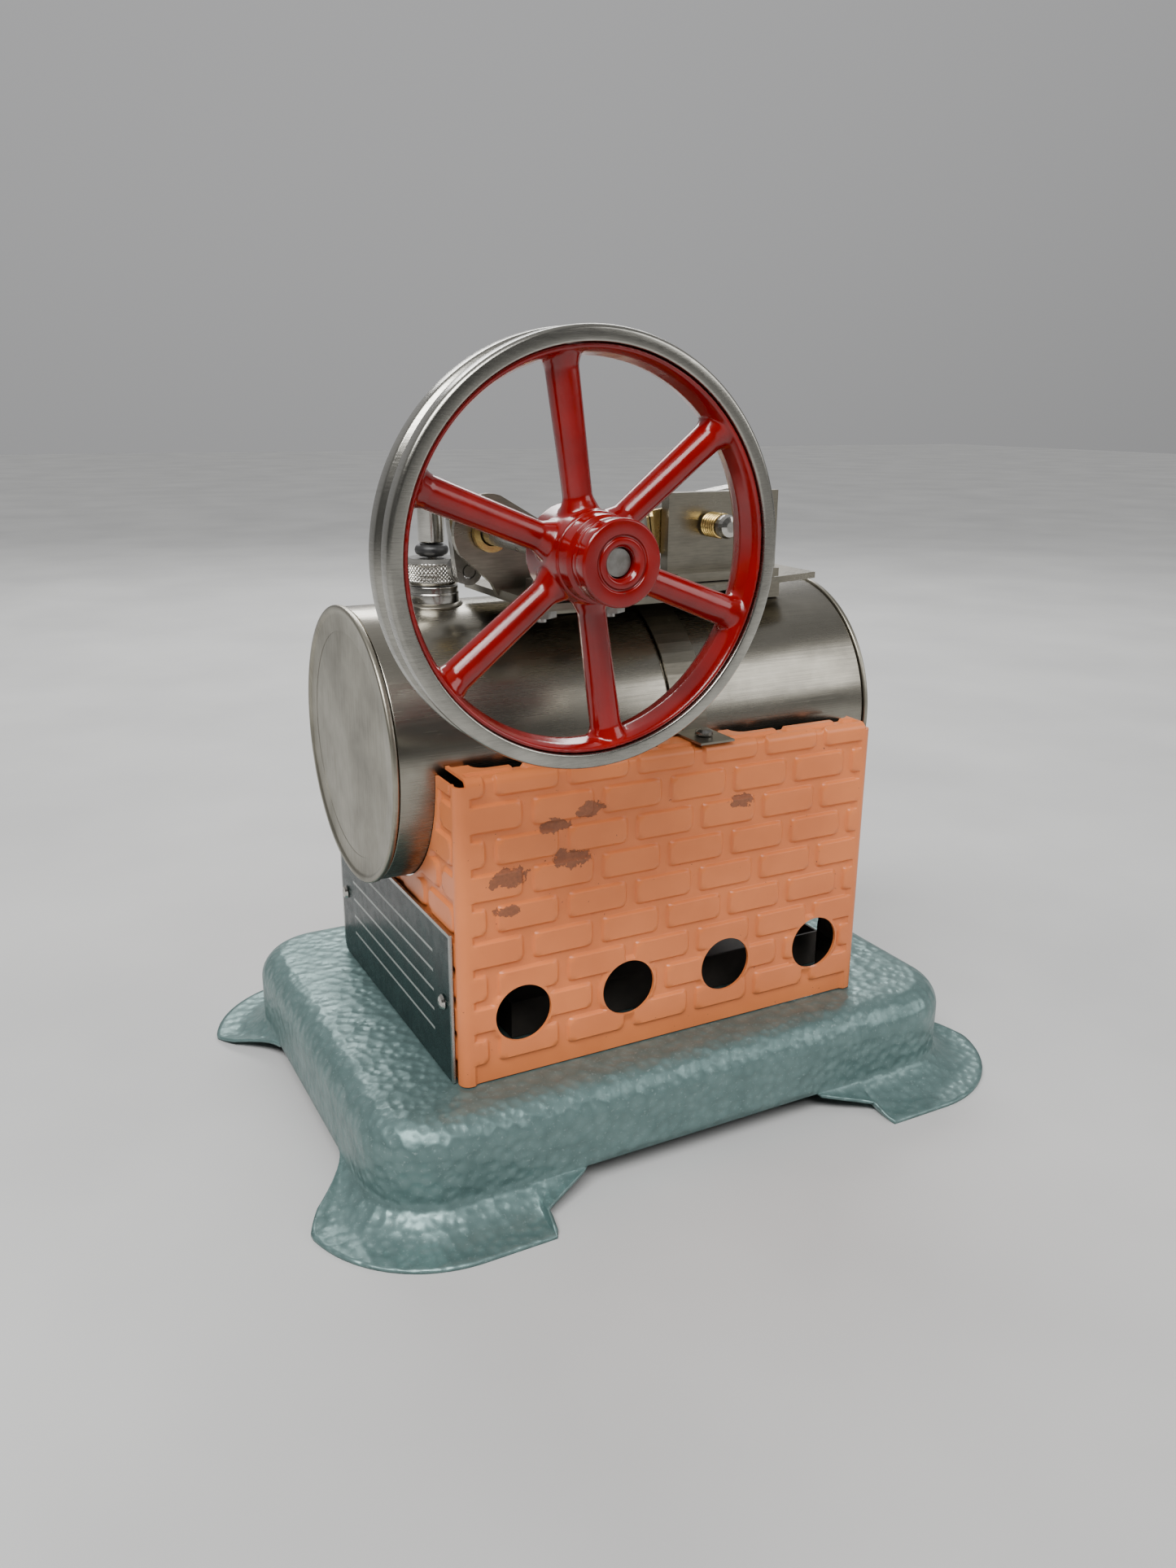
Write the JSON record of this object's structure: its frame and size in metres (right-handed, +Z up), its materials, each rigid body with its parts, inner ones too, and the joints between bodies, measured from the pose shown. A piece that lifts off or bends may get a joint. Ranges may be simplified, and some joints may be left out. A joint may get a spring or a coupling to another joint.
{
  "type": "model steam engine",
  "caption": "Toy steam engine: pressed base, brick-pattern firebox, horizontal boiler with safety valve, and an oscillating cylinder that turns a spoked flywheel.",
  "frame": {"origin": "on the floor, under the middle of the whole engine's bounding box", "axes": "+X along the boiler away from the safety valve, -Y towards the flywheel, +Z up"},
  "size_m": [0.1834, 0.1548, 0.1798],
  "materials": {
    "hammertone_teal": "satin",
    "brick_enamel": "satin",
    "nickel_plate": "satin",
    "brass": "satin",
    "red_enamel": "gloss",
    "black_rubber": "matte",
    "plate_enamel": "gloss",
    "steel": "satin"
  },
  "bodies": {
    "engine_frame": {"base_plate": "hammertone_teal", "firebox": "brick_enamel", "nameplate": "plate_enamel", "nameplate_rivet_1": "nickel_plate", "nameplate_rivet_2": "nickel_plate", "boiler_shell": "nickel_plate", "boiler_end_left": "nickel_plate", "boiler_end_right": "nickel_plate", "boiler_strap": "nickel_plate", "strap_screw_front": "steel", "strap_screw_back": "steel", "strap_nut_front": "steel", "strap_nut_back": "steel", "filler_bushing": "nickel_plate", "bed_plate": "nickel_plate", "bed_saddle_1": "nickel_plate", "bed_saddle_2": "nickel_plate", "bearing_bracket": "nickel_plate", "shaft_bush": "brass", "bracket_bolt_1": "steel", "bracket_bolt_2": "steel", "bracket_nut_1": "steel", "bracket_nut_2": "steel", "port_plate": "nickel_plate", "steam_nipple": "brass"},
    "crank": {"crankshaft": "steel", "crank_web": "steel", "crank_pin": "steel", "flywheel": "red_enamel", "hub_grub_screw": "steel"},
    "cylinder": {"cylinder_barrel": "nickel_plate", "cylinder_cap": "brass", "rod_gland": "brass", "port_face": "brass", "pivot_pin": "steel", "pivot_spring": "brass", "pivot_nut": "nickel_plate"},
    "piston": {"piston": "steel", "piston_rod": "steel"},
    "safety_valve": {"safety_valve_body": "nickel_plate", "valve_seal": "black_rubber", "valve_spring": "steel"},
    "valve_pull": {"valve_stem": "nickel_plate"},
    "tray": {"fuel_tray": "steel"}
  },
  "joints": [
    {"name": "flywheel_spin", "type": "hinge", "parent": "engine_frame", "child": "crank", "pos_m": [-0.0405, -0.0286, 0.1417], "axis": [0, 1, 0], "continuous": true},
    {"name": "cylinder_rock", "type": "hinge", "parent": "engine_frame", "child": "cylinder", "pos_m": [0.017, -0.0058, 0.1408], "axis": [0, 1, 0], "range_deg": [-0.1, 18.7]},
    {"name": "piston_stroke", "type": "slide", "parent": "cylinder", "child": "piston", "axis": [0.9892, 0, 0.1462], "range_m": [-0.0088, 0.01]},
    {"name": "valve_unscrew", "type": "hinge", "parent": "engine_frame", "child": "safety_valve", "pos_m": [-0.0433, 0.0049, 0.13], "axis": [0, 0, 1], "continuous": true},
    {"name": "valve_lift", "type": "slide", "parent": "safety_valve", "child": "valve_pull", "axis": [0, 0, 1], "range_m": [0, 0.002], "stiffness_N_per_m": 150, "deforming": ["valve_spring"]},
    {"name": "tray_draw", "type": "slide", "parent": "engine_frame", "child": "tray", "axis": [1, 0, 0], "range_m": [0, 0.1]}
  ]
}
